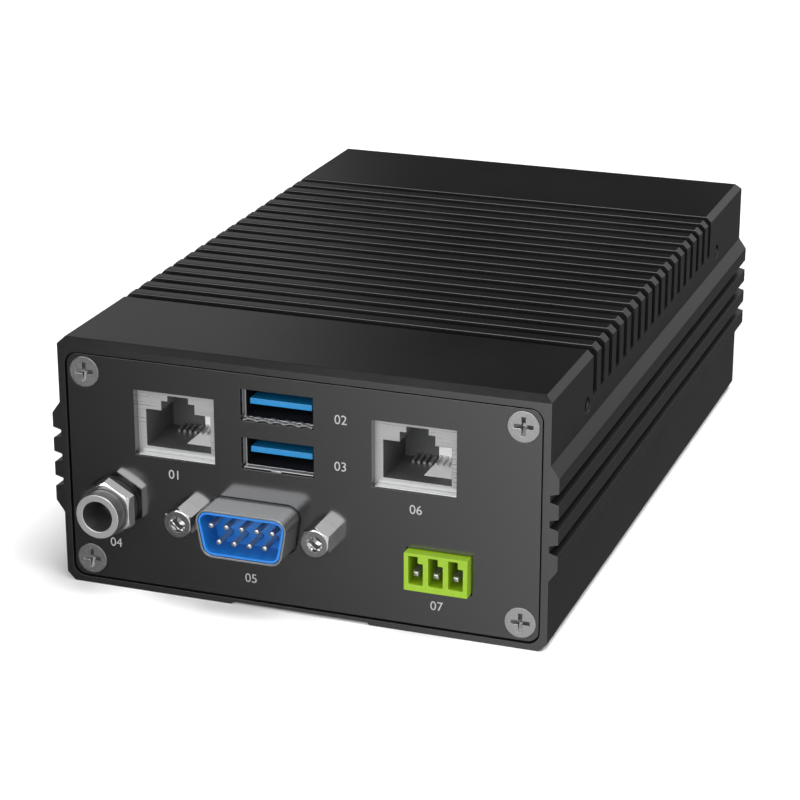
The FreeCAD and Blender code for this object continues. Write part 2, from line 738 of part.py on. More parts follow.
def network_jack(side, x):
    """A shielded jack on the upper board, its face against the back of the connector panel."""
    place = {"x": x, "y": "panel_back", "z": "main_board_top"}
    step = "mouth_top + step_rise"
    notch = "mouth_top + notch_rise"
    right_half = [("mouth_width / 2", "mouth_sill"), ("mouth_width / 2", "mouth_top"),
                  ("step_width / 2", "mouth_top"), ("step_width / 2", step),
                  ("notch_width / 2", step), ("notch_width / 2", notch)]
    mouth = right_half + [(f"-({across})", height) for across, height in reversed(right_half)]

    shield = new_part(f"network_jack_{side}_shield", **place)
    prism(shield, "box", "y", rectangle("jack_width", "jack_height"), "0", "jack_depth",
          at=("0", "jack_height / 2"))
    prism(shield, "hollow", "z", rectangle("jack_inner_width", "jack_inner_depth"), "0", "jack_inner_height",
          at=("0", "jack_depth / 2"), cut=True)
    prism(shield, "mouth", "y", mouth, "0", "jack_sheet", cut=True)

    insert = new_part(f"network_jack_{side}_insert", **place)
    prism(insert, "filling", "y", rectangle("insert_width", "insert_height"), "jack_sheet", "insert_depth",
          at=("0", "insert_height / 2"))
    prism(insert, "mouth", "y", mouth, "jack_sheet", "pocket_depth", cut=True)
    carrier_slot = rectangle("carrier_width + 2 * jack_fit", "mouth_top")
    prism(insert, "carrier_slot", "y", carrier_slot, "carrier_start", "insert_end - carrier_start",
          at=("carrier_centre", "mouth_top / 2"), cut=True)

    carrier = new_part(f"network_jack_{side}_carrier", **place)
    floor_start = "(carrier_start + jack_fit)"
    prism(carrier, "floor_plate", "y", rectangle("carrier_width", "mouth_sill"), floor_start,
          f"insert_end - {floor_start}", at=("carrier_centre", "mouth_sill / 2"))
    back_height = "(mouth_top - jack_fit)"
    prism(carrier, "back_block", "y", rectangle("carrier_width", back_height), "pocket_end",
          "insert_end - pocket_end", at=("carrier_centre", f"{back_height} / 2"))

    wires = new_part(f"network_jack_{side}_contacts", **place)
    start = "pocket_end - wire_run"
    slope = [(start, "mouth_sill"), ("pocket_end", "mouth_sill + wire_rise - wire_width"),
             ("pocket_end", "mouth_sill + wire_rise"), (start, "mouth_sill + wire_width")]
    row_length = "wire_pitch * (wire_count - 1)"
    wire = prism(wires, "wire", "x", slope, f"-({row_length} + wire_width) / 2", "wire_width")
    repeat(wires, "row", [wire], ("X_Axis", row_length, "wire_count"))


for side, place in jack_places.items():
    network_jack(side, place)


def data_port(level, height):
    """A metal shell with a contact tongue across its middle, its front against the back of the panel."""
    place = {"x": "-port_offset", "y": "panel_back", "z": height}
    shell = new_part(f"data_port_{level}_shell", **place)
    prism(shell, "tube", "y", rectangle("port_width", "port_height"), "0", "port_depth")
    prism(shell, "mouth", "y", rectangle("port_inner_width", "port_inner_height"), "0", "port_depth",
          cut=True)

    tongue = new_part(f"data_port_{level}_tongue", **place)
    prism(tongue, "blade", "y", rectangle("tongue_width", "tongue_thickness"), "tongue_setback",
          "port_depth - tongue_setback", at=("0", "tongue_centre"))

    strips = new_part(f"data_port_{level}_contacts", **place)
    row_length = "strip_pitch * (strip_count - 1)"
    underside = "tongue_centre - tongue_thickness / 2 - strip_thickness / 2"
    strip = prism(strips, "strip", "y", rectangle("strip_width", "strip_thickness"),
                  "port_depth - strip_length", "strip_length", at=(f"-({row_length}) / 2", underside))
    repeat(strips, "row", [strip], ("X_Axis", row_length, "strip_count"))


for level, height in port_places.items():
    data_port(level, height)
block("data_port_block", "port_width", "port_block_depth", "port_stack_height", "-port_offset",
      "panel_back + port_depth + port_block_depth / 2", "main_board_top")

# Serial port: shell with its flange, insulator with its lining, pins and the two hexagon jackscrews
serial_place = {"x": serial_x, "y": "serial_front", "z": "serial_centre"}
shell = new_part("serial_port_shell", **serial_place)
outer = serial_outline("0")
prism(shell, "tube", "y", outer, "0", "serial_length")
prism(shell, "flange", "y", rectangle("flange_width", "flange_height"), "serial_length", "flange_sheet")
inner = serial_outline("-serial_sheet")
prism(shell, "bore", "y", inner, "0", "serial_length + flange_sheet", cut=True)
round_corners(shell, "bore_corners", "y", inner, "serial_corner - serial_sheet")
round_corners(shell, "tube_corners", "y", outer, "serial_corner")
hole = prism(shell, "jackscrew_hole", "y", "jackscrew_hole", "serial_length", "flange_sheet",
             at=("-jackscrew_span / 2", "0"), cut=True)
repeat(shell, "jackscrew_holes", [hole], ("X_Axis", "jackscrew_span", "2"))

insulator = new_part("serial_port_insulator", **serial_place)
lining = serial_outline("-lining_inset")
prism(insulator, "plug", "y", lining, "lining_setback", "serial_length + flange_sheet - lining_setback")
cup = serial_outline("-(lining_inset + lining_wall)")
prism(insulator, "cup", "y", cup, "lining_setback", "serial_cup_depth - lining_setback", cut=True)
round_corners(insulator, "cup_corners", "y", cup, "serial_corner - lining_inset - lining_wall")
round_corners(insulator, "plug_corners", "y", lining, "serial_corner - lining_inset")
prism(insulator, "rear_block", "y", rectangle("serial_rear_width", "serial_rear_height"),
      "serial_length + flange_sheet", "serial_rear_depth",
      at=("0", "serial_height / 2 - serial_rear_height / 2"))

pins = new_part("serial_port_pins", **serial_place)
pin_rows = {"upper": ("contact_row_gap / 2", 5), "lower": ("-contact_row_gap / 2", 4)}
for name, (height, count) in pin_rows.items():
    row_length = f"contact_pin_pitch * {count - 1}"
    at = (f"-{row_length} / 2", height)
    row = ("X_Axis", row_length, str(count))
    hole = prism(insulator, f"{name}_pin_hole", "y", "contact_pin + 2 * contact_pin_fit", "serial_cup_depth",
                 "contact_pin_root", at=at, cut=True)
    repeat(insulator, f"{name}_pin_holes", [hole], row)
    pin = prism(pins, f"{name}_pin", "y", "contact_pin", "contact_pin_setback",
                "serial_cup_depth - contact_pin_setback + contact_pin_root", at=at)
    repeat(pins, f"{name}_pins", [pin], row)

jackscrews = new_part("serial_port_jackscrews", x=f"{serial_x} - jackscrew_span / 2", y=front_face,
                      z="serial_centre")
body = prism(jackscrews, "hexagon", "y", hexagon("jackscrew_width"), "-jackscrew_reach", "jackscrew_reach")
tail = prism(jackscrews, "tail", "y", "jackscrew_thread", "0",
             "panel_thickness + flange_sheet + jackscrew_tail")
bore = prism(jackscrews, "bore", "y", "jackscrew_thread", "-jackscrew_reach", "jackscrew_bore_depth",
             cut=True)
corners = turned(jackscrews, "corners", hexagon_corner_cut("jackscrew_width", "-jackscrew_reach"), cut=True)
repeat(jackscrews, "pair", [body, tail, bore, corners], ("X_Axis", "jackscrew_span", "2"))

# Terminal block: cells with a keyway at the top left, and a square blade in each
terminal_place = {"x": "terminal_offset", "y": "terminal_front", "z": "io_board_top"}
terminal = new_part("terminal_block_housing", **terminal_place)
prism(terminal, "box", "y", rectangle("terminal_width", "terminal_height"), "0", "terminal_depth",
      at=("0", "terminal_height / 2"))
left = "-cell_width / 2"
ceiling = "cell_sill + cell_height"
cell_outline = [(left, "cell_sill"), ("cell_width / 2", "cell_sill"), ("cell_width / 2", ceiling),
                (f"{left} + key_width", ceiling), (f"{left} + key_width", f"{ceiling} + key_height"),
                (left, f"{ceiling} + key_height")]
terminal_row = ("X_Axis", "terminal_row", "cell_count")
cell = prism(terminal, "cell", "y", cell_outline, "0", "cell_depth", at=("-terminal_row / 2", "0"), cut=True)
repeat(terminal, "cells", [cell], terminal_row)
blade_at = ("-terminal_row / 2", "cell_sill + blade_rise")
blade_hole = "blade_width + 2 * blade_fit"
hole = prism(terminal, "blade_hole", "y", rectangle(blade_hole, blade_hole), "cell_depth", "cell_back",
             at=blade_at, cut=True)
repeat(terminal, "blade_holes", [hole], terminal_row)
blades = new_part("terminal_block_pins", **terminal_place)
blade = prism(blades, "blade", "y", rectangle("blade_width", "blade_width"), "blade_setback",
              "terminal_depth - blade_setback", at=blade_at)
repeat(blades, "blades", [blade], terminal_row)

# Power socket: barrel with a shoulder behind the panel, washer, nut, insulating body on the lower board, pin
socket_place = {"x": "socket_x", "y": "socket_front", "z": "socket_centre"}
barrel = new_part("power_socket_barrel", **socket_place)
prism(barrel, "tube", "y", "barrel_diameter", "0", "barrel_length")
prism(barrel, "shoulder", "y", "barrel_diameter + 2 * shoulder_lip", "barrel_length", "shoulder_thickness")
prism(barrel, "bore", "y", "barrel_bore", "0", "shoulder_end", cut=True)
washer = new_part("power_socket_washer", x="socket_x", y=front_face, z="socket_centre")
nut_bore = "barrel_diameter + barrel_clearance"
prism(washer, "disc", "y", "nut_width", "-washer_thickness", "washer_thickness")
prism(washer, "bore", "y", nut_bore, "-washer_thickness", "washer_thickness", cut=True)
nut = new_part("power_socket_nut", x="socket_x", y=f"{front_face} - washer_thickness", z="socket_centre")
prism(nut, "hexagon", "y", hexagon("nut_width"), "-nut_thickness", "nut_thickness")
prism(nut, "bore", "y", nut_bore, "-nut_thickness", "nut_thickness", cut=True)
turned(nut, "corners", hexagon_corner_cut("nut_width", "-nut_thickness"), cut=True)
socket_body = new_part("power_socket_body", **socket_place)
prism(socket_body, "plug", "y", "barrel_bore - 2 * socket_fit", "barrel_length - barrel_floor",
      "barrel_floor + shoulder_thickness")
prism(socket_body, "case", "y", "socket_body_diameter", "shoulder_end", "socket_body_depth")
foot_height = "socket_lift + socket_body_diameter / 2"
prism(socket_body, "foot", "y", rectangle("socket_foot_width", foot_height),
      "shoulder_end + socket_body_depth", "socket_foot_depth", at=("0", f"({foot_height}) / 2 - socket_lift"))
prism(socket_body, "pin_hole", "y", "centre_pin + 2 * socket_fit", "barrel_length - barrel_floor",
      "barrel_floor + centre_pin_root", cut=True)
pin = new_part("power_socket_pin", **socket_place)
prism(pin, "pin", "y", "centre_pin", "centre_pin_setback",
      "barrel_length - centre_pin_setback + centre_pin_root")

# Processor, its pad and the block that leads its heat to the underside of the slots
square = ("processor_size", "processor_size")
pad_base = "main_board_top + processor_height"
block("processor", *square, "processor_height", "0", "processor_y", "main_board_top")
block("thermal_pad", *square, "thermal_pad_height", "0", "processor_y", pad_base)
block("heat_block", "heat_block_width", "heat_block_length", "heat_block_height", "0", "processor_y",
      f"{pad_base} + thermal_pad_height")

# Memory module in its socket on the upper board
memory_socket = block("memory_socket", "memory_width + 2 * memory_socket_cheek", "memory_socket_depth",
                      "memory_socket_height", "0", "memory_y + memory_socket_depth / 2", "main_board_top")
prism(memory_socket, "slot", "y", rectangle("memory_width + 2 * memory_fit", "memory_sheet + 2 * memory_fit"),
      "memory_socket_depth / 2 - memory_grip", "memory_grip", at=("0", "memory_lift + memory_sheet / 2"),
      cut=True)
memory = block("memory_module", "memory_width", "memory_length", "memory_sheet", "0",
               "memory_start + memory_length / 2", "memory_slot")
chip_row = "chip_pitch * (chip_count - 1)"
chip = prism(memory, "chip", "z", rectangle("chip_width", "chip_length"), "memory_sheet", "chip_height",
             at=(f"-({chip_row}) / 2", "memory_grip / 2"))
repeat(memory, "chips", [chip], ("X_Axis", chip_row, "chip_count"))

# Storage module in its socket on the lower board, held at its far end by a post and a screw
storage_socket = block("storage_socket", "storage_width + 2 * storage_socket_cheek", "storage_socket_depth",
                       "storage_socket_height", "storage_offset", "storage_y + storage_socket_depth / 2",
                       "io_board_top")
slot_outline = rectangle("storage_width + 2 * storage_fit", "storage_sheet + 2 * storage_fit")
prism(storage_socket, "slot", "y", slot_outline, "storage_socket_depth / 2 - storage_grip", "storage_grip",
      at=("0", "storage_lift + storage_sheet / 2"), cut=True)
storage = block("storage_module", "storage_width", "storage_length", "storage_sheet", "storage_offset",
                "storage_start + storage_length / 2", "storage_slot")
prism(storage, "screw_notch", "z", "storage_screw_hole", "0", "storage_sheet",
      at=("0", "storage_length / 2"), cut=True)
storage_post = new_part("storage_post", x="storage_offset", y="storage_end", z="io_board_top")
prism(storage_post, "post", "z", "storage_post_diameter", "0", "storage_lift")
prism(storage_post, "bore", "z", "storage_screw_hole", "0", "storage_lift", cut=True)
storage_screw = new_part("storage_screw", x="storage_offset", y="storage_end",
                         z="storage_slot + storage_sheet")
prism(storage_screw, "head", "z", "storage_screw_head", "0", "storage_screw_head_height")
storage_shank = "storage_sheet + storage_lift"
prism(storage_screw, "shank", "z", "storage_screw_thread", f"-({storage_shank})", storage_shank)

# Coin cell in its round holder on the lower board
coin_holder = new_part("coin_cell_holder", x="-coin_offset", y="coin_y", z="io_board_top")
cup_height = "coin_holder_floor + coin_height - coin_show"
prism(coin_holder, "cup", "z", "coin_cup + 2 * coin_holder_wall", "0", cup_height)
prism(coin_holder, "hollow", "z", "coin_cup", "coin_holder_floor", "coin_height - coin_show", cut=True)
coin = new_part("coin_cell", x="-coin_offset", y="coin_y", z="io_board_top + coin_holder_floor")
prism(coin, "cell", "z", "coin_diameter", "0", "coin_height")

# Link between the boards, and the capacitors of the power input
block("board_link_plug", "link_width", "link_depth", "link_plug_height", "-link_offset", "link_y",
      "io_board_top")
block("board_link_socket", "link_width", "link_depth", "link_socket_height", "-link_offset", "link_y",
      "io_board_top + link_plug_height")
capacitors = new_part("power_capacitors", x="capacitor_offset", y="board_front + capacitor_place",
                      z="io_board_top")
can = prism(capacitors, "can", "z", "capacitor_diameter", "0", "capacitor_height")
repeat(capacitors, "pair", [can], ("Y_Axis", "capacitor_pitch", "2"))

# Every object has to be sound before anything is written
doc.recompute()
for item in doc.Objects:
    if "Invalid" in item.State or "Error" in item.State:
        raise RuntimeError(f"{item.Label} failed: {item.State}")
for body in sub_parts:
    if body.Shape.isNull() or not body.Shape.isValid() or not body.Shape.Solids:
        raise RuntimeError(f"{body.Label} has no sound shape")

os.makedirs("parts", exist_ok=True)
whole = FreeCAD.BoundBox()
for body in sub_parts:
    body.Shape.exportStep(f"parts/{body.Label}.step")
    whole.add(body.Shape.BoundBox)
    print(f"{body.Label}: {len(body.Shape.Solids)} solids, {body.Shape.Volume:.1f} mm3")
print(f"{len(sub_parts)} parts, box {whole}")
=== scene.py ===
# %% [markdown]
# # A machine vision controller, dressed for its portrait
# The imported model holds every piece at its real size, so this lesson never moves anything. It copies the
# pieces that show, breaks their razor edges as a finisher would, adds the fine work that a drawing leaves
# out, and gives every surface a finish made of nodes. All lengths are in metres; MM turns millimetres
# into them, because that is how such a case is drawn.

# %% Load the frame
import json
import math

import bmesh
import bpy
from mathutils import Matrix, Vector


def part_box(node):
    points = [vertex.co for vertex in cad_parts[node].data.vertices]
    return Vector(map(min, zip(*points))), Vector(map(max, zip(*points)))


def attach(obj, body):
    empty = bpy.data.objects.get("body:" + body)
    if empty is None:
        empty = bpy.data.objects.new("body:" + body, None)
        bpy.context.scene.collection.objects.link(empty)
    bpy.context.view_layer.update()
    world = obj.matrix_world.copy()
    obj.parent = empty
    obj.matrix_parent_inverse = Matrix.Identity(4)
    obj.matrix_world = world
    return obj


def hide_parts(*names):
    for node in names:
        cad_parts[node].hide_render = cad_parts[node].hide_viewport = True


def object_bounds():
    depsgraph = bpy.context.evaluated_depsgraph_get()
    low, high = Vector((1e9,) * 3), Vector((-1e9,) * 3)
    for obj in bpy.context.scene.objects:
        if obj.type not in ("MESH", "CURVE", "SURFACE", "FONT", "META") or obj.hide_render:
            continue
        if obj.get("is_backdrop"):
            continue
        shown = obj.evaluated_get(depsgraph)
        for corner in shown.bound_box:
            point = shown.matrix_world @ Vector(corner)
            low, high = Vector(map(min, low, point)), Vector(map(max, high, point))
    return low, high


MM = 0.001
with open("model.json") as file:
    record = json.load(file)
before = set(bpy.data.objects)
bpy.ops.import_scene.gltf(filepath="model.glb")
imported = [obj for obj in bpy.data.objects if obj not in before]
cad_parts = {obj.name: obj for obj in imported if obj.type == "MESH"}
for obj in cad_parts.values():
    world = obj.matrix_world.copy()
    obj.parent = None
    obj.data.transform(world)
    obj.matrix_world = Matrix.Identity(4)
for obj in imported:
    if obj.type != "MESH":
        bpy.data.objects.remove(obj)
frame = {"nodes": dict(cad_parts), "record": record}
scene = bpy.context.scene
cad_low, cad_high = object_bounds()
case_low, case_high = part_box("housing")
front_rim = case_low.y
panel_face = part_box("front_panel")[0].y
print("nodes:", len(frame["nodes"]), "front rim at", round(front_rim / MM, 2), "mm")

# %% [markdown]
# ## Camera
# The reference looks at the connector panel from the right and from above. Fitting a pinhole camera to
# the corners of the case gave its azimuth, elevation, distance and focal length. A long lens keeps the
# case's edges nearly parallel, as product pictures do.

# %% Camera
AZIMUTH = math.radians(19.857)
ELEVATION = math.radians(20.190)
FOCAL_PIXELS = 2526.2
IMAGE_PIXELS = 800
SENSOR = 36.0
EYE_RIGHT = 149.43 * MM
EYE_BEFORE_RIM = 363.31 * MM
EYE_HEIGHT = 183.37 * MM
NEAREST_SEEN = 0.01
FARTHEST_SEEN = 50
backwards = Vector((math.sin(AZIMUTH) * math.cos(ELEVATION),
                    -math.cos(AZIMUTH) * math.cos(ELEVATION), math.sin(ELEVATION)))
lens_data = bpy.data.cameras.new("portrait_camera")
lens_data.sensor_width = SENSOR
lens_data.lens = FOCAL_PIXELS * SENSOR / IMAGE_PIXELS
lens_data.clip_start = NEAREST_SEEN
lens_data.clip_end = FARTHEST_SEEN
camera = bpy.data.objects.new("portrait_camera", lens_data)
camera.location = (EYE_RIGHT, front_rim - EYE_BEFORE_RIM, EYE_HEIGHT)
camera.rotation_mode = "QUATERNION"
camera.rotation_quaternion = (-backwards).to_track_quat("-Z", "Y")
scene.collection.objects.link(camera)
scene.camera = camera
print("lens", round(lens_data.lens, 1), "mm")

# %% [markdown]
# ## Room
# Black metal shows what it mirrors, not what falls on it, so the room comes before the lamps. It is nearly
# black, with three glows. The panel and its screws mirror the edge of a wide one at the front right, so
# they brighten from the lower left to the upper right. The sides mirror a dim one low at the back right, and
# their chamfers a small one above it. A picture of a studio could do the same, but patches made of nodes are
# easy to move: each is a heading, two closenesses to it between which it fades in, and a strength. The
# Standard view shows these values without a film curve, so the pale floor stays white.

# %% Room
scene.view_settings.view_transform = "Standard"
ROOM_DARK = 0.025
glows = [
    {"heading": (0.50, -0.85, 0.10), "edges": (0.40, 0.80), "strength": 1.05},
    {"heading": (0.32, 0.88, -0.35), "edges": (0.60, 0.95), "strength": 0.09},
    {"heading": (0.28, 0.88, 0.38), "edges": (0.89, 0.98), "strength": 0.48},
]
room = bpy.data.worlds.new("dim_room")
room.use_nodes = True
room_nodes = room.node_tree.nodes
room_links = room.node_tree.links
looking = room_nodes.new("ShaderNodeTexCoord")


def glow_shade(heading, edges, strength):
    """A brightness that grows from nothing to its strength between two closenesses to a heading."""
    closeness = room_nodes.new("ShaderNodeVectorMath")
    closeness.operation = "DOT_PRODUCT"
    closeness.inputs[1].default_value = Vector(heading).normalized()
    room_links.new(looking.outputs["Generated"], closeness.inputs[0])
    shade = room_nodes.new("ShaderNodeMapRange")
    shade.interpolation_type = "SMOOTHSTEP"
    for socket, value in zip(("From Min", "From Max", "To Max"), (*edges, strength)):
        shade.inputs[socket].default_value = value
    room_links.new(closeness.outputs["Value"], shade.inputs["Value"])
    return shade.outputs["Result"]


total = None
for glow in glows:
    adding = room_nodes.new("ShaderNodeMath")
    room_links.new(glow_shade(**glow), adding.inputs[0])
    if total:
        room_links.new(total, adding.inputs[1])
    else:
        adding.inputs[1].default_value = ROOM_DARK
    total = adding.outputs["Value"]
room_links.new(total, room_nodes["Background"].inputs["Color"])
scene.world = room
print("glows in the room:", len(glows))

# %% [markdown]
# ## Lamps
# Two soft panels and a broad sun do the rest. The panel at the upper left front lights the connectors, and
# the one low at the back left draws the sheen on the top. The sun lights the floor evenly, and because it
# fills a wide angle its shadows are soft.

# %% Lamps
LAMP_AIM = Vector((0, 0, 25 * MM))


def hang_lamp(light, place, towards):
    """An object that carries a light and shines in a direction."""
    lamp = bpy.data.objects.new(light.name, light)
    lamp.location = place
    lamp.rotation_mode = "QUATERNION"
    lamp.rotation_quaternion = Vector(towards).to_track_quat("-Z", "Y")
    scene.collection.objects.link(lamp)
    print("lamp:", lamp.name)


def soft_panel(name, place, width, height, power):
    """A soft light of that size, turned towards the case."""
    light = bpy.data.lights.new(name, "AREA")
    light.shape = "RECTANGLE"
    light.size = width
    light.size_y = height
    light.energy = power
    hang_lamp(light, place, LAMP_AIM - Vector(place))


def broad_sun(name, towards, strength, spread):
    """An even light from a wide patch of sky; spread is its angle in degrees."""
    light = bpy.data.lights.new(name, "SUN")
    light.energy = strength
    light.angle = math.radians(spread)
    hang_lamp(light, (0, 0, 0), towards)


broad_sun("overhead_sky", towards=(-0.35, 0.00, -0.94), strength=3.3, spread=40)
soft_panel("front_panel_light", place=(-0.12, -0.80, 0.40), width=0.90, height=0.70, power=7.0)
soft_panel("low_back_left_light", place=(-0.63, 0.75, 0.30), width=0.60, height=0.40, power=0.29)

# %% [markdown]
# ## Floor
# The case stands on one large, plain, pale square. It is kept out of the reflections, because a white floor
# would turn the black sides grey.

# %% Floor
FLOOR_HALF = 12.0
FLOOR_PALE = (0.93, 0.93, 0.93, 1)
FLOOR_ROUGH = 0.9
floor_shape = bmesh.new()
bmesh.ops.create_grid(floor_shape, x_segments=1, y_segments=1, size=FLOOR_HALF)
floor_mesh = bpy.data.meshes.new("floor")
floor_shape.to_mesh(floor_mesh)
floor_shape.free()
floor = bpy.data.objects.new("floor", floor_mesh)
floor.location.z = cad_low.z
floor.visible_glossy = False
scene.collection.objects.link(floor)
floor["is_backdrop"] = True
floor_paint = bpy.data.materials.new("floor_paint")
floor_paint.use_nodes = True
floor_shader = floor_paint.node_tree.nodes["Principled BSDF"]
floor_shader.inputs["Base Color"].default_value = FLOOR_PALE
floor_shader.inputs["Roughness"].default_value = FLOOR_ROUGH
floor_mesh.materials.append(floor_paint)
print("floor:", 2 * FLOOR_HALF, "m wide")

# %% [markdown]
# ## Shared surface effects
# Two effects return on many finishes, so each is a node group. Grain is the fine speckle of blasted or
# moulded surfaces, with a slow cloud that keeps large faces from looking painted by a computer. Brushing is
# the same noise drawn out along one direction, as rolling and plating leave it on sheet metal.

# %% Shared surface effects


def effect_group(name, sockets_in, sockets_out):
    """A shader node group with named value sockets and its two end nodes."""
    group = bpy.data.node_groups.new(name, "ShaderNodeTree")
    for label, value in sockets_in.items():
        socket = group.interface.new_socket(label, in_out="INPUT", socket_type="NodeSocketFloat")
        socket.default_value = value
    for label in sockets_out:
        group.interface.new_socket(label, in_out="OUTPUT", socket_type="NodeSocketFloat")
    return group, group.nodes.new("NodeGroupInput"), group.nodes.new("NodeGroupOutput")


def noise_node(tree, vector, detail):
    """A noise texture over the given coordinates."""
    noise = tree.nodes.new("ShaderNodeTexNoise")
    noise.inputs["Detail"].default_value = detail
    tree.links.new(vector, noise.inputs["Vector"])
    return noise


grain, grain_in, grain_out = effect_group("surface_grain", {"Grain Scale": 2500.0, "Cloud Scale": 40.0},
                                          ("Speckle", "Cloud"))
place = grain.nodes.new("ShaderNodeTexCoord").outputs["Object"]
for label, scale_label, detail in (("Speckle", "Grain Scale", 2.0), ("Cloud", "Cloud Scale", 3.0)):
    noise = noise_node(grain, place, detail)
    grain.links.new(grain_in.outputs[scale_label], noise.inputs["Scale"])
    grain.links.new(noise.outputs["Fac"], grain_out.inputs[label])

brushing, brush_in, brush_out = effect_group(
    "brushed_streaks", {"Along X": 150.0, "Along Y": 5000.0, "Along Z": 5000.0}, ("Streak",))
place = brushing.nodes.new("ShaderNodeTexCoord").outputs["Object"]
spread = brushing.nodes.new("ShaderNodeCombineXYZ")
for axis in "XYZ":
    brushing.links.new(brush_in.outputs[f"Along {axis}"], spread.inputs[axis])
stretched = brushing.nodes.new("ShaderNodeVectorMath")
stretched.operation = "MULTIPLY"
brushing.links.new(place, stretched.inputs[0])
brushing.links.new(spread.outputs["Vector"], stretched.inputs[1])
streaks = noise_node(brushing, stretched.outputs["Vector"], 2.0)
streaks.inputs["Scale"].default_value = 1.0
brushing.links.new(streaks.outputs["Fac"], brush_out.inputs["Streak"])
print("groups:", grain.name, brushing.name)

# %% [markdown]
# ## How a finish is made
# Every finish is built by one function: two close colours that the grain mixes, a span of roughness, and a
# shallow bump. A metal that was drawn or rolled takes the streaks instead of the speckle. Noise seldom
# leaves the middle of its range, so that middle is what the colours and the roughness spread over. What is
# the same all over a surface is set on the shader itself.

# %% How a finish is made
NOISE_LOW = 0.3
NOISE_HIGH = 0.7
EVEN_SHARE = 0.5
BUMP_DEPTH = 0.02 * MM


def finish(name, dark, light, rough, bump=0.1, metallic=0.0, grain_scale=2500.0, cloud_scale=40.0,
           streaks=None, ior=1.5):
    """A finish of nodes; rough is its lowest and highest roughness, streaks its scales along X, Y and Z."""
    material = bpy.data.materials.new(name)
    material.use_nodes = True
    tree = material.node_tree
    shader = tree.nodes["Principled BSDF"]
    shader.inputs["Metallic"].default_value = metallic
    shader.inputs["IOR"].default_value = ior

    effect = tree.nodes.new("ShaderNodeGroup")
    effect.node_tree = grain
    effect.inputs["Grain Scale"].default_value = grain_scale
    effect.inputs["Cloud Scale"].default_value = cloud_scale
    fine = effect.outputs["Speckle"]
    if streaks:
        lines = tree.nodes.new("ShaderNodeGroup")
        lines.node_tree = brushing
        for axis, scale in zip("XYZ", streaks):
            lines.inputs[f"Along {axis}"].default_value = scale
        fine = lines.outputs["Streak"]

    cloud_part = tree.nodes.new("ShaderNodeMath")
    cloud_part.operation = "MULTIPLY"
    cloud_part.inputs[1].default_value = EVEN_SHARE
    tree.links.new(effect.outputs["Cloud"], cloud_part.inputs[0])
    both = tree.nodes.new("ShaderNodeMath")
    both.operation = "MULTIPLY_ADD"
    both.inputs[1].default_value = EVEN_SHARE
    tree.links.new(fine, both.inputs[0])
    tree.links.new(cloud_part.outputs["Value"], both.inputs[2])

    colours = tree.nodes.new("ShaderNodeValToRGB")
    for stop, position, colour in zip(colours.color_ramp.elements, (NOISE_LOW, NOISE_HIGH), (dark, light)):
        stop.position = position
        stop.color = (*colour, 1)
    tree.links.new(both.outputs["Value"], colours.inputs["Fac"])
    tree.links.new(colours.outputs["Color"], shader.inputs["Base Color"])

    roughness = tree.nodes.new("ShaderNodeMapRange")
    for socket, value in zip(("From Min", "From Max", "To Min", "To Max"), (NOISE_LOW, NOISE_HIGH, *rough)):
        roughness.inputs[socket].default_value = value
    tree.links.new(both.outputs["Value"], roughness.inputs["Value"])
    tree.links.new(roughness.outputs["Result"], shader.inputs["Roughness"])

    relief = tree.nodes.new("ShaderNodeBump")
    relief.inputs["Strength"].default_value = bump
    relief.inputs["Distance"].default_value = BUMP_DEPTH
    tree.links.new(fine, relief.inputs["Height"])
    tree.links.new(relief.outputs["Normal"], shader.inputs["Normal"])
    return material


print("colours and roughness spread over noise from", NOISE_LOW, "to", NOISE_HIGH)

# %% [markdown]
# ## Finishes
# The first eighteen finishes are those of the record's material slots. The last five belong to parts of
# pieces: brushed and satin nickel, a near-black steel that is painted shade and painted dark reflection, a
# near-black port lining that is painted shade, and printing ink. Stamped and plated sheet is not a mirror,
# so
# its metallic share stays below one: that keeps it pale where it faces nothing bright. The panels are
# smoother than the case, and a high index of refraction gives them their dark shine.

# %% Finishes
ALONG_X = (150.0, 5000.0, 5000.0)


def grey(shade):
    """A colour without a tint."""
    return (shade, shade, shade)


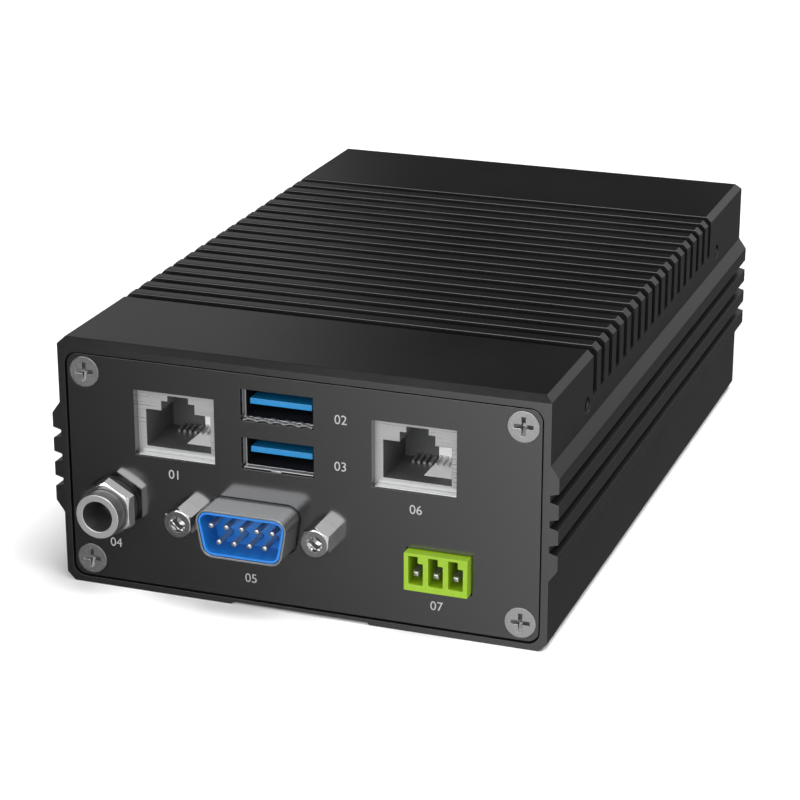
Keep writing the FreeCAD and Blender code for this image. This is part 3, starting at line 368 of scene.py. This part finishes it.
looks = {
    "case_black": dict(dark=grey(0.003), light=grey(0.005), rough=(0.27, 0.36), ior=1.7),
    "panel_black": dict(dark=grey(0.004), light=grey(0.006), rough=(0.13, 0.17), bump=0.02, ior=2.4),
    "screw_steel": dict(dark=grey(0.56), light=(0.68, 0.68, 0.67), rough=(0.17, 0.25), bump=0.05,
                        metallic=0.95),
    "standoff_brass": dict(dark=(0.62, 0.46, 0.20), light=(0.78, 0.60, 0.30), rough=(0.25, 0.40),
                           metallic=1.0),
    "board_laminate": dict(dark=(0.006, 0.060, 0.030), light=(0.012, 0.100, 0.050), rough=(0.25, 0.40),
                           cloud_scale=300.0),
    "chip_black": dict(dark=grey(0.012), light=grey(0.022), rough=(0.50, 0.65), bump=0.3),
    "pad_grey": dict(dark=(0.30, 0.31, 0.33), light=(0.40, 0.41, 0.43), rough=(0.75, 0.90), bump=0.3),
    "bare_aluminium": dict(dark=(0.60, 0.60, 0.61), light=(0.74, 0.74, 0.75), rough=(0.28, 0.42),
                           metallic=1.0, streaks=ALONG_X),
    "cell_steel": dict(dark=grey(0.58), light=grey(0.70), rough=(0.20, 0.35), metallic=1.0),
    "jack_tin": dict(dark=(0.40, 0.405, 0.41), light=grey(0.52), rough=(0.24, 0.34), bump=0.06,
                     metallic=0.65, streaks=ALONG_X),
    "jack_dark": dict(dark=(0.055, 0.056, 0.058), light=(0.072, 0.073, 0.075), rough=(0.40, 0.55)),
    "carrier_white": dict(dark=grey(0.90), light=grey(0.94), rough=(0.45, 0.60)),
    "contact_gold": dict(dark=(0.70, 0.50, 0.20), light=(0.85, 0.64, 0.30), rough=(0.18, 0.30),
                         metallic=1.0),
    "port_nickel": dict(dark=(0.46, 0.46, 0.47), light=grey(0.56), rough=(0.08, 0.15), bump=0.03,
                        metallic=0.97),
    "tongue_blue": dict(dark=(0.005, 0.150, 0.360), light=(0.007, 0.185, 0.420), rough=(0.28, 0.38),
                        bump=0.04),
    "insulator_blue": dict(dark=(0.007, 0.125, 0.430), light=(0.010, 0.160, 0.520), rough=(0.28, 0.40),
                           bump=0.04),
    "pin_tin": dict(dark=grey(0.44), light=(0.54, 0.54, 0.53), rough=(0.24, 0.34), metallic=0.9),
    "terminal_green": dict(dark=(0.180, 0.310, 0.003), light=(0.210, 0.360, 0.005), rough=(0.42, 0.55),
                           bump=0.08),
    "satin_nickel": dict(dark=(0.39, 0.39, 0.395), light=grey(0.46), rough=(0.30, 0.40), bump=0.06,
                         metallic=0.70, grain_scale=6000.0),
    "sheet_nickel": dict(dark=(0.25, 0.255, 0.27), light=(0.30, 0.305, 0.315), rough=(0.18, 0.28), bump=0.04,
                         metallic=0.70, streaks=ALONG_X),
    # Painted shade: near-black steel for the screw recesses, the serial shell's flanks and the socket
    # barrel.
    "painted_shade_steel": dict(dark=grey(0.09), light=grey(0.13), rough=(0.28, 0.38), metallic=0.6),
    # Painted shade: a near-black lining inside the data ports.
    "painted_shade_lining": dict(dark=(0.003, 0.003, 0.005), light=(0.006, 0.006, 0.009), rough=(0.45, 0.60)),
    "ink_white": dict(dark=(0.27, 0.27, 0.265), light=(0.33, 0.33, 0.325), rough=(0.55, 0.70)),
}
finishes = {name: finish(name, **look) for name, look in looks.items()}
print("finishes:", len(finishes))

# %% [markdown]
# ## From a node to a finished piece
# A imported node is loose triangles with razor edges. Welding its points and dissolving the flat triangles
# gives back whole faces; a narrow bevel along every sharp edge then catches a line of light, which is most
# of what makes metal look real. Round walls are shaded smooth, and anything sharper than the smoothing angle
# stays crisp. A bevel would also bend the shading of the broad face beside it, so the Weighted Normal
# modifier lets the largest face at each point set its direction, and flat faces stay flat.

# %% From a node to a finished piece
WELD = 0.001 * MM
FLAT_ANGLE = math.radians(0.5)
SHARP_ANGLE = math.radians(35)
SMOOTH_ANGLE = math.radians(32)


def welded(node):
    """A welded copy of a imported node, with its flat triangles joined into whole faces."""
    shape = bmesh.new()
    shape.from_mesh(frame["nodes"][node].data)
    bmesh.ops.remove_doubles(shape, verts=shape.verts, dist=WELD)
    bmesh.ops.dissolve_limit(shape, angle_limit=FLAT_ANGLE, verts=shape.verts, edges=shape.edges)
    return shape


def break_edges(shape, width, steps=2, chosen=None):
    """A narrow round along the sharp edges, or along those of them that chosen picks."""
    sharp = [edge for edge in shape.edges if edge.is_manifold and edge.calc_face_angle(0.0) > SHARP_ANGLE]
    if chosen:
        sharp = [edge for edge in sharp if chosen(edge)]
    bmesh.ops.bevel(shape, geom=sharp, offset=width, offset_type="OFFSET", segments=steps, profile=0.5,
                    affect="EDGES", clamp_overlap=True, material=-1)


def add_piece(name, shape, slot, *coats, stands_for=None):
    """The finished shape as an object that rides with the case, in place of a node where one is named."""
    for face in shape.faces:
        face.smooth = True
    for edge in shape.edges:
        edge.smooth = edge.is_manifold and edge.calc_face_angle(0.0) < SMOOTH_ANGLE
    mesh = bpy.data.meshes.new(name)
    shape.to_mesh(mesh)
    shape.free()
    for coat in coats:
        mesh.materials.append(finishes[coat])
    piece = bpy.data.objects.new(name, mesh)
    scene.collection.objects.link(piece)
    shading = piece.modifiers.new("flat_faces", "WEIGHTED_NORMAL")
    shading.keep_sharp = True
    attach(piece, "root")
    if stands_for:
        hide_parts(stands_for)
    print(name, len(mesh.polygons), "faces")


print("edges over", round(math.degrees(SHARP_ANGLE)), "degrees count as sharp")

# %% [markdown]
# ## A finish on every node
# The pieces inside the case don't show in the portrait, but whoever opens the model sees them. So every
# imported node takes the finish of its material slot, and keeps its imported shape. The pieces that show are
# replaced by finished copies in the next cells.

# %% A finish on every node
node_slot = {row["node"]: row["material_slot"] for row in frame["record"]["subparts"]}


def finish_node(node, shape, *coats):
    """The finished copy of a node, in the coats that are named or else in the finish of its slot."""
    slot = node_slot[node]
    add_piece(f"{node}_finished", shape, slot, *(coats or (slot,)), stands_for=node)


for node, thing in frame["nodes"].items():
    thing.data.materials.clear()
    thing.data.materials.append(finishes[node_slot[node]])
print("nodes with a finish:", len(frame["nodes"]))

# %% [markdown]
# ## Edges of the plain pieces
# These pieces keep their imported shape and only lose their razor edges. A Bevel modifier could do that too,
# but the operator also serves the later pieces, where only some edges are picked. The widths, in
# millimetres, differ as the real ones do: a moulded block is rounder than a milled case, and stamped sheet
# is barely broken at all.

# %% Edges of the plain pieces
edge_widths = {
    "front_panel": 0.03, "rear_panel": 0.03,
    "network_jack_left_shield": 0.08, "network_jack_right_shield": 0.08,
    "network_jack_left_insert": 0.04, "network_jack_right_insert": 0.04,
    "network_jack_left_carrier": 0.12, "network_jack_right_carrier": 0.12,
    "data_port_upper_tongue": 0.12, "data_port_lower_tongue": 0.12,
    "serial_port_insulator": 0.10, "terminal_block_housing": 0.25, "power_socket_washer": 0.20,
    "power_socket_nut": 0.07, "serial_port_jackscrews": 0.07,
}
for node, width in edge_widths.items():
    shape = welded(node)
    break_edges(shape, width * MM)
    finish_node(node, shape)

# %% [markdown]
# ## Case
# The case is sawn from an extrusion, and the saw cut's outer edges are rounded before the black finish.
# Those edges lie in the two end planes and belong to walls that face away from the middle of the case. They
# get a wider round than the milled edges. The round on the fins between the slots is in between, so that
# each fin draws one thin line of light. The end faces themselves are milled smooth, so they shine like the
# panels beside them.

# %% Case
END_ROUND = 0.35 * MM
FIN_ROUND = 0.20 * MM
MILLED_BREAK = 0.10 * MM
SQUARE_ON = 0.99
LEANING = 0.5
case_ends = (case_low.y, case_high.y)
case_middle = (case_low + case_high) / 2


def saw_cut_edge(edge):
    """Whether an edge lies on the outline of one of the case's end faces."""
    at_end = any(all(abs(vert.co.y - end) < WELD for vert in edge.verts) for end in case_ends)
    away = (edge.verts[0].co + edge.verts[1].co) / 2 - case_middle
    away.y = 0
    walls = [face for face in edge.link_faces if abs(face.normal.y) < LEANING]
    return at_end and all(face.normal.dot(away) > 0 for face in walls)


def fin_edge(edge):
    """Whether an edge lies between the top of the case and the wall of a slot."""
    on_top = all(abs(vert.co.z - case_high.z) < WELD for vert in edge.verts)
    walls = [face for face in edge.link_faces if abs(face.normal.y) > SQUARE_ON]
    return on_top and len(walls) == 1 and not saw_cut_edge(edge)


shape = welded("housing")
break_edges(shape, FIN_ROUND, steps=3, chosen=fin_edge)
break_edges(shape, MILLED_BREAK, chosen=lambda edge: not saw_cut_edge(edge))
break_edges(shape, END_ROUND, steps=3, chosen=saw_cut_edge)
for face in shape.faces:
    from_ends = [abs(face.calc_center_median().y - end) for end in case_ends]
    face.material_index = int(min(from_ends) < WELD)
finish_node("housing", shape, "case_black", "panel_black")

# %% [markdown]
# ## Shells with two finishes
# Some metal shells take two finishes. The barrel of the power socket is painted near-black, as painted shade
# and painted dark reflection, while its end face keeps a pale satin nickel. The serial port's shell is drawn
# from sheet: its top and its rim are brushed, and its flanks are painted near-black as painted shade. The
# data ports' shells are painted near-black inside, as painted shade.
# A mask of nodes could part the finishes, but each border is an edge of the shape, so faces are picked by
# the direction in which they point.

# %% Shells with two finishes
UPWARD = 0.6


def faces_front(face):
    """Whether a face looks out of the connector panel."""
    return face.normal.y < -LEANING


def two_finishes(node, width, first, second, takes_second):
    """A node with broken edges, whose faces take one of two finishes."""
    shape = welded(node)
    break_edges(shape, width * MM, steps=3)
    for face in shape.faces:
        face.material_index = int(takes_second(face))
    finish_node(node, shape, first, second)


# Painted shade: the barrel is near-black steel as painted shade and painted dark reflection; its end face
# stays pale.
two_finishes("power_socket_barrel", 0.15, "painted_shade_steel", "satin_nickel", faces_front)
# Painted shade: the serial shell's flanks are near-black steel; its top and rim stay brushed sheet.
two_finishes("serial_port_shell", 0.10, "painted_shade_steel", "sheet_nickel",
             lambda face: face.normal.z > UPWARD or faces_front(face))
# Painted shade: the inner walls of the data ports take a near-black lining.
for node in ("data_port_lower_shell", "data_port_upper_shell"):
    low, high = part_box(node)
    port_middle = (low + high) / 2
    two_finishes(node, 0.06, "port_nickel", "painted_shade_lining",
                 lambda face: abs(face.normal.y) < LEANING
                 and face.normal.dot(port_middle - face.calc_center_median()) > 0)

# %% [markdown]
# ## Pins with finished tips
# Contact pins are swaged to a dome or a blunt wedge, so that a plug finds them. Only the edges at the front
# end are rounded, with more steps than elsewhere, because the tips are what shows inside a connector. The
# rounds are given in millimetres.

# %% Pins with finished tips
tip_rounds = {"serial_port_pins": 0.30, "terminal_block_pins": 0.30, "power_socket_pin": 0.75}


def front_edges(node):
    """A test that picks the edges in the node's frontmost plane."""
    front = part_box(node)[0].y
    return lambda edge: all(abs(vert.co.y - front) < WELD for vert in edge.verts)


for node, width in tip_rounds.items():
    shape = welded(node)
    break_edges(shape, width * MM, steps=5, chosen=front_edges(node))
    finish_node(node, shape)

# %% [markdown]
# ## Panel screws
# A cross recess is driven by a pointed punch: it is deep in the middle, and its four arms rise towards their
# ends. The imported screws have recesses with flat floors. In this copy each floor is cut between its four
# inner corners, and the points at the ends of the arms are lifted close to the face of the head. The walls
# and floor of the recess take a near-black steel finish, which is painted shade.

# %% Panel screws
HEAD_RADIUS = 2.7 * MM
RECESS_REACH = 1.9 * MM
RECESS_DEPTH = 1.0 * MM
RECESS_CORNERS = 4
ARM_END_DEPTH = 0.12 * MM
SCREW_BREAK = 0.06 * MM
DEEPEST = 1.05 * RECESS_DEPTH
for node, outward in (("front_panel_screws", -1), ("rear_panel_screws", 1)):
    low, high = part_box(node)
    head_face = low.y if outward < 0 else high.y
    recess_floor = head_face - outward * RECESS_DEPTH
    axes = [Vector((x, recess_floor, z)) for x in (low.x + HEAD_RADIUS, high.x - HEAD_RADIUS)
            for z in (low.z + HEAD_RADIUS, high.z - HEAD_RADIUS)]
    shape = welded(node)
    for axis in axes:
        floor_points = [vert for vert in shape.verts if (vert.co - axis).length < RECESS_REACH
                        and abs(vert.co.y - recess_floor) < WELD]
        floor_points.sort(key=lambda vert: (vert.co - axis).length)
        bmesh.ops.connect_verts(shape, verts=floor_points[:RECESS_CORNERS])
        for vert in floor_points[RECESS_CORNERS:]:
            vert.co.y = head_face - outward * ARM_END_DEPTH
    break_edges(shape, SCREW_BREAK)
    for face in shape.faces:
        centre = face.calc_center_median()
        depth = (head_face - centre.y) * outward
        reach = min(math.hypot(centre.x - axis.x, centre.z - axis.z) for axis in axes)
        # Painted shade: the recess faces take near-black steel.
        face.material_index = int(reach < RECESS_REACH and ARM_END_DEPTH / 2 < depth < DEEPEST)
    finish_node(node, shape, "screw_steel", "painted_shade_steel")

# %% [markdown]
# ## Threads in the open holes
# The holes for brackets and the bores of the jackscrews are tapped. A zigzag profile spun about the hole's
# axis gives the rings of a thread, which at this size cannot be told from a helix, and each one is closed.

# %% Threads in the open holes
SPIN_STEPS = 40
ROOT_SHARE = 0.1


def thread_rings(shape, mouth, inward, wall_radius, tooth, pitch, turns):
    """Closed rings of thread lining a hole, from its mouth inwards."""
    side = inward.orthogonal().normalized()
    start = mouth + inward * pitch / 2
    profile = [shape.verts.new(start + side * wall_radius)]
    for turn in range(turns):
        crest = start + inward * pitch * (turn + 0.5)
        root = start + inward * pitch * (turn + 1)
        profile.append(shape.verts.new(crest + side * (wall_radius - tooth)))
        profile.append(shape.verts.new(root + side * (wall_radius - ROOT_SHARE * tooth)))
    profile.append(shape.verts.new(root + side * wall_radius))
    edges = [shape.edges.new(pair) for pair in zip(profile, profile[1:] + profile[:1])]
    bmesh.ops.spin(shape, geom=profile + edges, cent=mouth, axis=inward, dvec=(0, 0, 0), angle=2 * math.pi,
                   steps=SPIN_STEPS, use_merge=True)


def close_up(shape):
    """Merge the doubled points of a shape and turn its faces outwards."""
    bmesh.ops.remove_doubles(shape, verts=shape.verts, dist=WELD)
    bmesh.ops.recalc_face_normals(shape, faces=shape.faces)


SIDE_FACE = 44.0 * MM
SIDE_HOLE_INSET = 21.2 * MM
SIDE_HOLE_HEIGHT = 36.2 * MM
shape = bmesh.new()
for y in (case_low.y + SIDE_HOLE_INSET, case_high.y - SIDE_HOLE_INSET):
    for hand in (-1, 1):
        thread_rings(shape, Vector((hand * SIDE_FACE, y, SIDE_HOLE_HEIGHT)), Vector((-hand, 0, 0)),
                     wall_radius=1.49 * MM, tooth=0.25 * MM, pitch=0.5 * MM, turns=9)
close_up(shape)
add_piece("bracket_hole_threads", shape, "case_black", "case_black")

JACKSCREW_HALF = 2.5 * MM
low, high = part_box("serial_port_jackscrews")
shape = bmesh.new()
for x in (low.x + JACKSCREW_HALF, high.x - JACKSCREW_HALF):
    thread_rings(shape, Vector((x, low.y, (low.z + high.z) / 2)), Vector((0, 1, 0)),
                 wall_radius=1.41 * MM, tooth=0.25 * MM, pitch=0.6 * MM, turns=4)
close_up(shape)
add_piece("jackscrew_threads", shape, "port_nickel", "port_nickel")

# %% [markdown]
# ## Lips of the network jacks
# A jack's shield turns forward under the panel's window, so that the case and the shield touch. The lip is a
# cube drawn out into a strip, with its edges broken.

# %% Lips of the network jacks
WINDOW_BOTTOM = 25.2 * MM
WINDOW_SIDE = 0.55 * MM
LIP_GAP = 0.05 * MM
LIP_LEFT_GAP = 0.5 * MM
LIP_SETBACK = 0.15 * MM
LIP_SHEET = 0.25 * MM
LIP_BREAK = 0.08 * MM


def strip(shape, low, high):
    """A thin block between two corners."""
    size = Vector(high) - Vector(low)
    centre = (Vector(high) + Vector(low)) / 2
    bmesh.ops.create_cube(shape, size=1.0, matrix=Matrix.Translation(centre) @ Matrix.Diagonal((*size, 1)))


shape = bmesh.new()
for hand in ("left", "right"):
    low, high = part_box(f"network_jack_{hand}_shield")
    strip(shape, (low.x + WINDOW_SIDE + LIP_LEFT_GAP, panel_face + LIP_SETBACK, WINDOW_BOTTOM + LIP_GAP),
          (high.x - WINDOW_SIDE - LIP_GAP, low.y - LIP_GAP, WINDOW_BOTTOM + LIP_GAP + LIP_SHEET))
break_edges(shape, LIP_BREAK)
add_piece("network_jack_lips", shape, "jack_tin", "jack_tin")

# %% [markdown]
# ## Springs of the upper data port
# Springs under the mouth of a data port press on the panel's window, so that the case and the shell touch.
# At the upper port they are two corrugated strips, one behind the other, half a wave apart. Each starts as a
# flat grid whose points are lifted along a cosine, and solidify gives it the thickness of sheet.

# %% Springs of the upper data port
SPRING_SHEET = 0.10 * MM
SPRING_RISE = 0.38 * MM
SPRING_WAVES = 5
STEPS_PER_WAVE = 12
SPRING_DEPTH = 0.6 * MM
SPRING_LAYING = 0.03 * MM
SPRING_END_GAP = 0.3 * MM
SPRING_SETBACKS = (0.12 * MM, 0.85 * MM)
SPRING_STARTS = (0.0, 0.5)


def corrugated(shape, low, high, start):
    """A strip of waved sheet over a floor between two corners; start is where in a wave it begins."""
    size = Vector(high) - Vector(low)
    centre = (Vector(high) + Vector(low)) / 2
    made = bmesh.ops.create_grid(shape, x_segments=SPRING_WAVES * STEPS_PER_WAVE, y_segments=1, size=0.5,
                                 matrix=Matrix.Translation(centre) @ Matrix.Diagonal((size.x, size.y, 1, 1)))
    for vert in made["verts"]:
        turn = (vert.co.x - low[0]) / size.x * SPRING_WAVES + start
        vert.co.z += SPRING_RISE * (1 - math.cos(2 * math.pi * turn)) / 2
    faces = list({face for vert in made["verts"] for face in vert.link_faces})
    bmesh.ops.solidify(shape, geom=faces, thickness=-SPRING_SHEET)


low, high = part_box("data_port_upper_shell")
level = low.z + SPRING_SHEET + SPRING_LAYING
shape = bmesh.new()
for setback, start in zip(SPRING_SETBACKS, SPRING_STARTS):
    front = panel_face + setback
    corrugated(shape, (low.x + SPRING_END_GAP, front, level),
               (high.x - SPRING_END_GAP, front + SPRING_DEPTH, level), start)
close_up(shape)
add_piece("data_port_upper_springs", shape, "port_nickel", "satin_nickel")

# %% [markdown]
# ## Spring of the lower data port
# The lower port has a flat strip with a tab in its middle. Both are drawn-out cubes, as the lips of the
# network jacks are.

# %% Spring of the lower data port
FLAT_SETBACK = 0.45 * MM
FLAT_LIFT = 0.1 * MM
FLAT_TOP = 0.3 * MM
TAB_LEFT_OF_MIDDLE = 0.3 * MM
TAB_HALF = 0.9 * MM
TAB_SETBACK = 0.12 * MM
TAB_BACK = 0.7 * MM
TAB_TOP = 0.38 * MM
SPRING_BREAK = 0.06 * MM
low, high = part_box("data_port_lower_shell")
level = low.z + SPRING_LAYING
tab_middle = (low.x + high.x) / 2 - TAB_LEFT_OF_MIDDLE
shape = bmesh.new()
strip(shape, (low.x + SPRING_END_GAP, panel_face + FLAT_SETBACK, level + FLAT_LIFT),
      (high.x - SPRING_END_GAP, low.y - SPRING_LAYING, level + FLAT_TOP))
strip(shape, (tab_middle - TAB_HALF, panel_face + TAB_SETBACK, level),
      (tab_middle + TAB_HALF, panel_face + TAB_BACK, level + TAB_TOP))
break_edges(shape, SPRING_BREAK)
add_piece("data_port_lower_springs", shape, "port_nickel", "satin_nickel")

# %% [markdown]
# ## Port numbers
# Each connector on a panel carries a mark, so that leads go back to the right place. Plain numbers serve
# here. Text is turned into a mesh, stood up in the plane of the panel and laid on its face as a thin print.
# The places are given in millimetres, across and up, in the order of the numbers.

# %% Port numbers
CAP_HEIGHT = 1.6 * MM
CAP_SHARE = 0.69
INK_DEPTH = 0.012 * MM
INK_WELD = WELD / 10
number_places = [(-22.8, 22.4), (7.7, 36.3), (7.6, 28.0), (-34.4, 8.2), (-9.0, 5.2), (20.9, 22.1),
                 (24.6, 5.2)]
stand_up = Matrix.Rotation(math.radians(90), 4, "X")
shape = bmesh.new()
for count, (x, z) in enumerate(number_places, start=1):
    lettering = bpy.data.curves.new(f"number_{count}", "FONT")
    lettering.body = f"0{count}"
    lettering.size = CAP_HEIGHT / CAP_SHARE
    lettering.align_x = "CENTER"
    lettering.align_y = "CENTER"
    lettering.extrude = INK_DEPTH / 2
    writer = bpy.data.objects.new(f"number_{count}", lettering)
    scene.collection.objects.link(writer)
    bpy.context.view_layer.update()
    printed = bpy.data.meshes.new_from_object(writer.evaluated_get(bpy.context.evaluated_depsgraph_get()))
    printed.transform(Matrix.Translation((x * MM, panel_face - INK_DEPTH / 2, z * MM)) @ stand_up)
    shape.from_mesh(printed)
    bpy.data.objects.remove(writer)
    bpy.data.meshes.remove(printed)
    bpy.data.curves.remove(lettering)
bmesh.ops.remove_doubles(shape, verts=shape.verts, dist=INK_WELD)
add_piece("port_numbers", shape, "panel_black", "ink_white")

bpy.context.view_layer.update()
low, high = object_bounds()
print("grown by", [round(max(0.0, a - b) / MM, 4) for a, b in zip(cad_low, low)],
      [round(max(0.0, b - a) / MM, 4) for a, b in zip(cad_high, high)])
